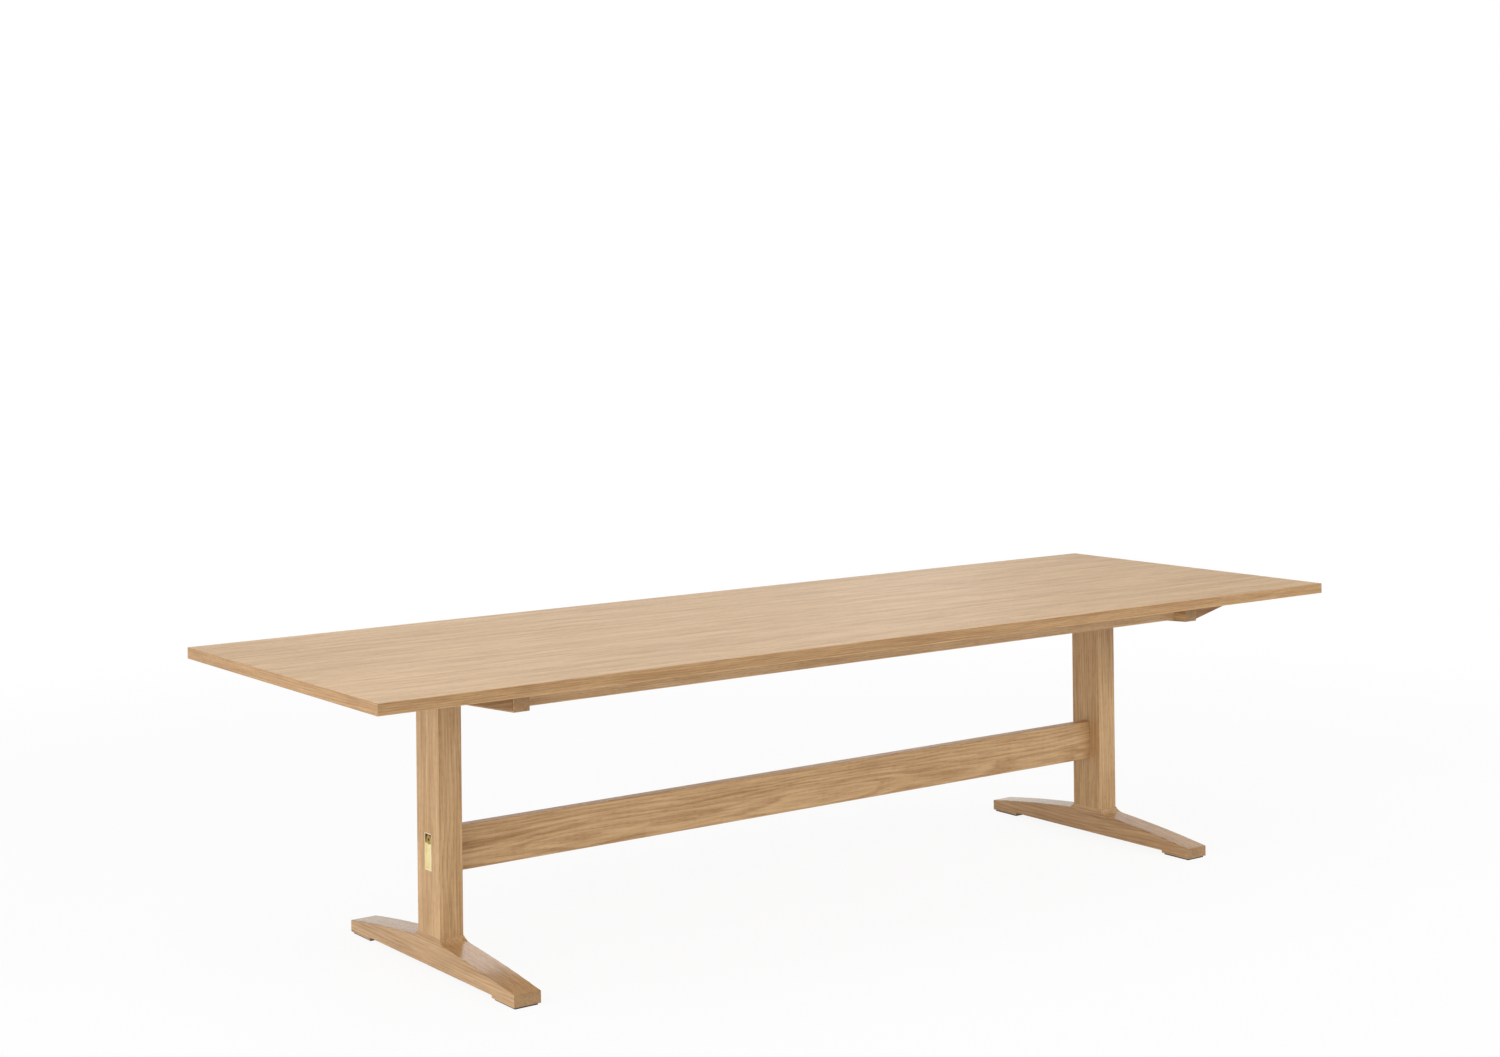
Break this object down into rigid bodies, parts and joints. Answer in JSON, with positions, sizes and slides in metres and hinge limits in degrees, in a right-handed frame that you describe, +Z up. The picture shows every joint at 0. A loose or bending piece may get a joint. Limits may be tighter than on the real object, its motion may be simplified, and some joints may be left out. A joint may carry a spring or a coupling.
{
  "type": "trestle dining table",
  "caption": "Long oak trestle dining table: thin veneered top on single-post trestles with low arched feet, joined by a plank stretcher with brass-lined bolt recesses.",
  "frame": {"origin": "on the floor under the middle of the table", "axes": "+X along the length to the right, +Y from the front edge to the back edge, +Z up"},
  "size_m": [3, 0.95, 0.73],
  "materials": {
    "oak": "satin lacquered solid oak",
    "oak_veneer": "satin lacquered oak veneer",
    "board": "raw board",
    "brass": "brushed",
    "steel": "zinc plated",
    "glide": "matt black"
  },
  "bodies": {
    "root": {"barrel_nut_left": "steel", "barrel_nut_right": "steel", "bearer_left": "oak", "bearer_right": "oak", "bearer_screws": "steel", "bolt_washer_left": "brass", "bolt_washer_right": "brass", "bracket_back_left": "oak", "bracket_back_right": "oak", "bracket_front_left": "oak", "bracket_front_right": "oak", "bracket_screws": "steel", "brass_pocket_left": "brass", "brass_pocket_right": "brass", "foot_left": "oak", "foot_right": "oak", "glide_back_left": "glide", "glide_back_right": "glide", "glide_front_left": "glide", "glide_front_right": "glide", "glide_screws": "steel", "lipping_back": "oak", "lipping_front": "oak", "lipping_left": "oak", "lipping_right": "oak", "post_left": "oak", "post_right": "oak", "rail_back": "oak", "rail_front": "oak", "rail_screws": "steel", "stretcher": "oak", "stretcher_bolt_left": "brass", "stretcher_bolt_right": "brass", "top_core": "board", "top_veneer": "oak_veneer", "underside_veneer": "oak_veneer"}
  },
  "joints": []
}
